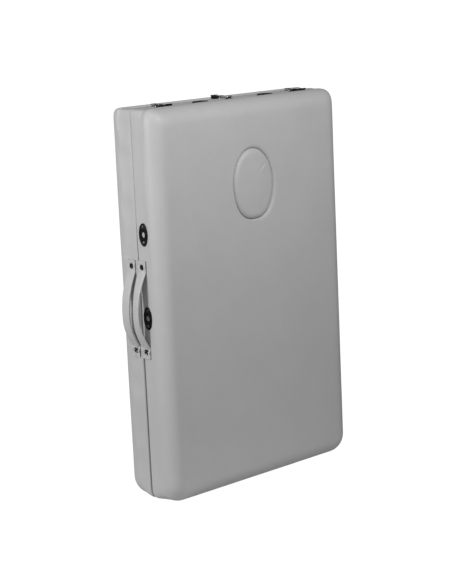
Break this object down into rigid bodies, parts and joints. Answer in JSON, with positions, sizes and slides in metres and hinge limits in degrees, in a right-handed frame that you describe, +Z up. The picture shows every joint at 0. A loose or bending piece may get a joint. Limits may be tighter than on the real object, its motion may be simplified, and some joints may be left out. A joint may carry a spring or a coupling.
{
  "type": "folding massage table",
  "caption": "Portable massage table folded shut on its padded halves, with folding legs inside, draw latches, carrying straps, armrest and face cradle sockets and an oval face hole plug.",
  "frame": {"origin": "middle of the overall box at the end that the closed table stands on", "axes": "+Z up the length of the closed table to the head end; -Y the half with the face hole; -X the long edge with the carrying straps"},
  "size_m": [0.623, 0.17, 0.933],
  "materials": {
    "vinyl_pad": "satin",
    "vinyl_strap": "satin",
    "beech_frame": "satin",
    "plywood": "matte",
    "zinc_steel": "satin",
    "black_steel": "satin",
    "black_plastic": "matte",
    "rubber_foot": "matte",
    "aluminium_tube": "satin"
  },
  "bodies": {
    "front_half": {"front_pad": "vinyl_pad", "front_frame": "beech_frame", "front_deck": "plywood", "front_cross_batten": "beech_frame", "front_leg_axle": "zinc_steel", "front_hinge_leaf": "black_steel", "hinge_pin": "zinc_steel", "upper_left_arm_socket": "black_plastic", "lower_left_arm_socket": "black_plastic", "upper_right_arm_socket": "black_plastic", "lower_right_arm_socket": "black_plastic", "left_cradle_socket": "black_plastic", "right_cradle_socket": "black_plastic", "front_handle_strap": "vinyl_strap", "front_upper_strap_screw": "black_steel", "front_lower_strap_screw": "black_steel", "left_latch_base": "black_steel", "right_latch_base": "black_steel", "middle_latch_keeper": "black_steel"},
    "rear_half": {"rear_pad": "vinyl_pad", "rear_frame": "beech_frame", "rear_deck": "plywood", "rear_cross_batten": "beech_frame", "rear_leg_axle": "zinc_steel", "rear_hinge_leaf": "black_steel", "rear_handle_strap": "vinyl_strap", "rear_upper_strap_screw": "black_steel", "rear_lower_strap_screw": "black_steel", "middle_latch_base": "black_steel", "left_latch_keeper": "black_steel", "right_latch_keeper": "black_steel"},
    "face_plug": {"face_plug_pad": "vinyl_pad", "face_plug_board": "plywood"},
    "front_legs": {"front_leg_frame": "aluminium_tube"},
    "front_struts": {"front_left_strut": "aluminium_tube", "front_right_strut": "aluminium_tube"},
    "front_left_slider": {"front_left_leg_slider": "aluminium_tube", "front_left_foot": "rubber_foot"},
    "front_left_knob": {"front_left_height_knob": "black_plastic"},
    "front_right_slider": {"front_right_leg_slider": "aluminium_tube", "front_right_foot": "rubber_foot"},
    "front_right_knob": {"front_right_height_knob": "black_plastic"},
    "rear_legs": {"rear_leg_frame": "aluminium_tube"},
    "rear_struts": {"rear_left_strut": "aluminium_tube", "rear_right_strut": "aluminium_tube"},
    "rear_left_slider": {"rear_left_leg_slider": "aluminium_tube", "rear_left_foot": "rubber_foot"},
    "rear_left_knob": {"rear_left_height_knob": "black_plastic"},
    "rear_right_slider": {"rear_right_leg_slider": "aluminium_tube", "rear_right_foot": "rubber_foot"},
    "rear_right_knob": {"rear_right_height_knob": "black_plastic"},
    "left_lever": {"left_latch_lever": "black_plastic"},
    "left_bail": {"left_latch_bail": "zinc_steel"},
    "middle_lever": {"middle_latch_lever": "black_plastic"},
    "middle_bail": {"middle_latch_bail": "zinc_steel"},
    "right_lever": {"right_latch_lever": "black_plastic"},
    "right_bail": {"right_latch_bail": "zinc_steel"}
  },
  "joints": [
    {"name": "table_fold", "type": "hinge", "parent": "front_half", "child": "rear_half", "pos_m": [0.0115, 0, 0.006], "axis": [-1, 0, 0], "range_deg": [0, 180], "deforming": ["front_pad", "rear_pad"]},
    {"name": "face_plug_out", "type": "slide", "parent": "front_half", "child": "face_plug", "axis": [0, -1, 0], "range_m": [0, 0.08]},
    {"name": "front_leg_swing", "type": "hinge", "parent": "front_half", "child": "front_legs", "pos_m": [0.0115, -0.0185, 0.861], "axis": [1, 0, 0], "range_deg": [0, 98]},
    {"name": "front_strut_swing", "type": "hinge", "parent": "front_legs", "child": "front_struts", "pos_m": [0.0115, -0.0185, 0.561], "axis": [-1, 0, 0], "range_deg": [0, 136.7]},
    {"name": "front_left_leg_length", "type": "slide", "parent": "front_legs", "child": "front_left_slider", "axis": [0, 0, -1], "range_m": [0, 0.2]},
    {"name": "front_left_knob_turn", "type": "hinge", "parent": "front_legs", "child": "front_left_knob", "pos_m": [-0.2464, -0.0185, 0.501], "axis": [-1, 0, 0], "range_deg": [0, 360]},
    {"name": "front_right_leg_length", "type": "slide", "parent": "front_legs", "child": "front_right_slider", "axis": [0, 0, -1], "range_m": [0, 0.2]},
    {"name": "front_right_knob_turn", "type": "hinge", "parent": "front_legs", "child": "front_right_knob", "pos_m": [0.2694, -0.0185, 0.501], "axis": [1, 0, 0], "range_deg": [0, 360]},
    {"name": "rear_leg_swing", "type": "hinge", "parent": "rear_half", "child": "rear_legs", "pos_m": [0.0115, 0.0185, 0.861], "axis": [-1, 0, 0], "range_deg": [0, 98]},
    {"name": "rear_strut_swing", "type": "hinge", "parent": "rear_legs", "child": "rear_struts", "pos_m": [0.0115, 0.0185, 0.561], "axis": [1, 0, 0], "range_deg": [0, 136.7]},
    {"name": "rear_left_leg_length", "type": "slide", "parent": "rear_legs", "child": "rear_left_slider", "axis": [0, 0, -1], "range_m": [0, 0.2]},
    {"name": "rear_left_knob_turn", "type": "hinge", "parent": "rear_legs", "child": "rear_left_knob", "pos_m": [-0.2064, 0.0185, 0.501], "axis": [-1, 0, 0], "range_deg": [0, 360]},
    {"name": "rear_right_leg_length", "type": "slide", "parent": "rear_legs", "child": "rear_right_slider", "axis": [0, 0, -1], "range_m": [0, 0.2]},
    {"name": "rear_right_knob_turn", "type": "hinge", "parent": "rear_legs", "child": "rear_right_knob", "pos_m": [0.2294, 0.0185, 0.501], "axis": [1, 0, 0], "range_deg": [0, 360]},
    {"name": "left_latch_lift", "type": "hinge", "parent": "front_half", "child": "left_lever", "pos_m": [-0.2055, -0.009, 0.9288], "axis": [-1, 0, 0], "range_deg": [0, 130]},
    {"name": "left_bail_level", "type": "hinge", "parent": "left_lever", "child": "left_bail", "pos_m": [-0.2055, -0.017, 0.9316], "axis": [-1, 0, 0], "range_deg": [-130, 0]},
    {"name": "middle_latch_lift", "type": "hinge", "parent": "rear_half", "child": "middle_lever", "pos_m": [0.0115, 0.009, 0.9288], "axis": [1, 0, 0], "range_deg": [0, 130]},
    {"name": "middle_bail_level", "type": "hinge", "parent": "middle_lever", "child": "middle_bail", "pos_m": [0.0115, 0.017, 0.9316], "axis": [1, 0, 0], "range_deg": [-130, 0]},
    {"name": "right_latch_lift", "type": "hinge", "parent": "front_half", "child": "right_lever", "pos_m": [0.2285, -0.009, 0.9288], "axis": [-1, 0, 0], "range_deg": [0, 130]},
    {"name": "right_bail_level", "type": "hinge", "parent": "right_lever", "child": "right_bail", "pos_m": [0.2285, -0.017, 0.9316], "axis": [-1, 0, 0], "range_deg": [-130, 0]}
  ],
  "couplings": [
    {"joint": "front_leg_swing", "follows": "table_fold", "ratio": 0.53889},
    {"joint": "front_strut_swing", "follows": "table_fold", "ratio": 0.75394},
    {"joint": "rear_leg_swing", "follows": "table_fold", "ratio": 0.53889},
    {"joint": "rear_strut_swing", "follows": "table_fold", "ratio": 0.75394},
    {"joint": "left_bail_level", "follows": "left_latch_lift", "ratio": -1},
    {"joint": "middle_bail_level", "follows": "middle_latch_lift", "ratio": -1},
    {"joint": "right_bail_level", "follows": "right_latch_lift", "ratio": -1}
  ]
}
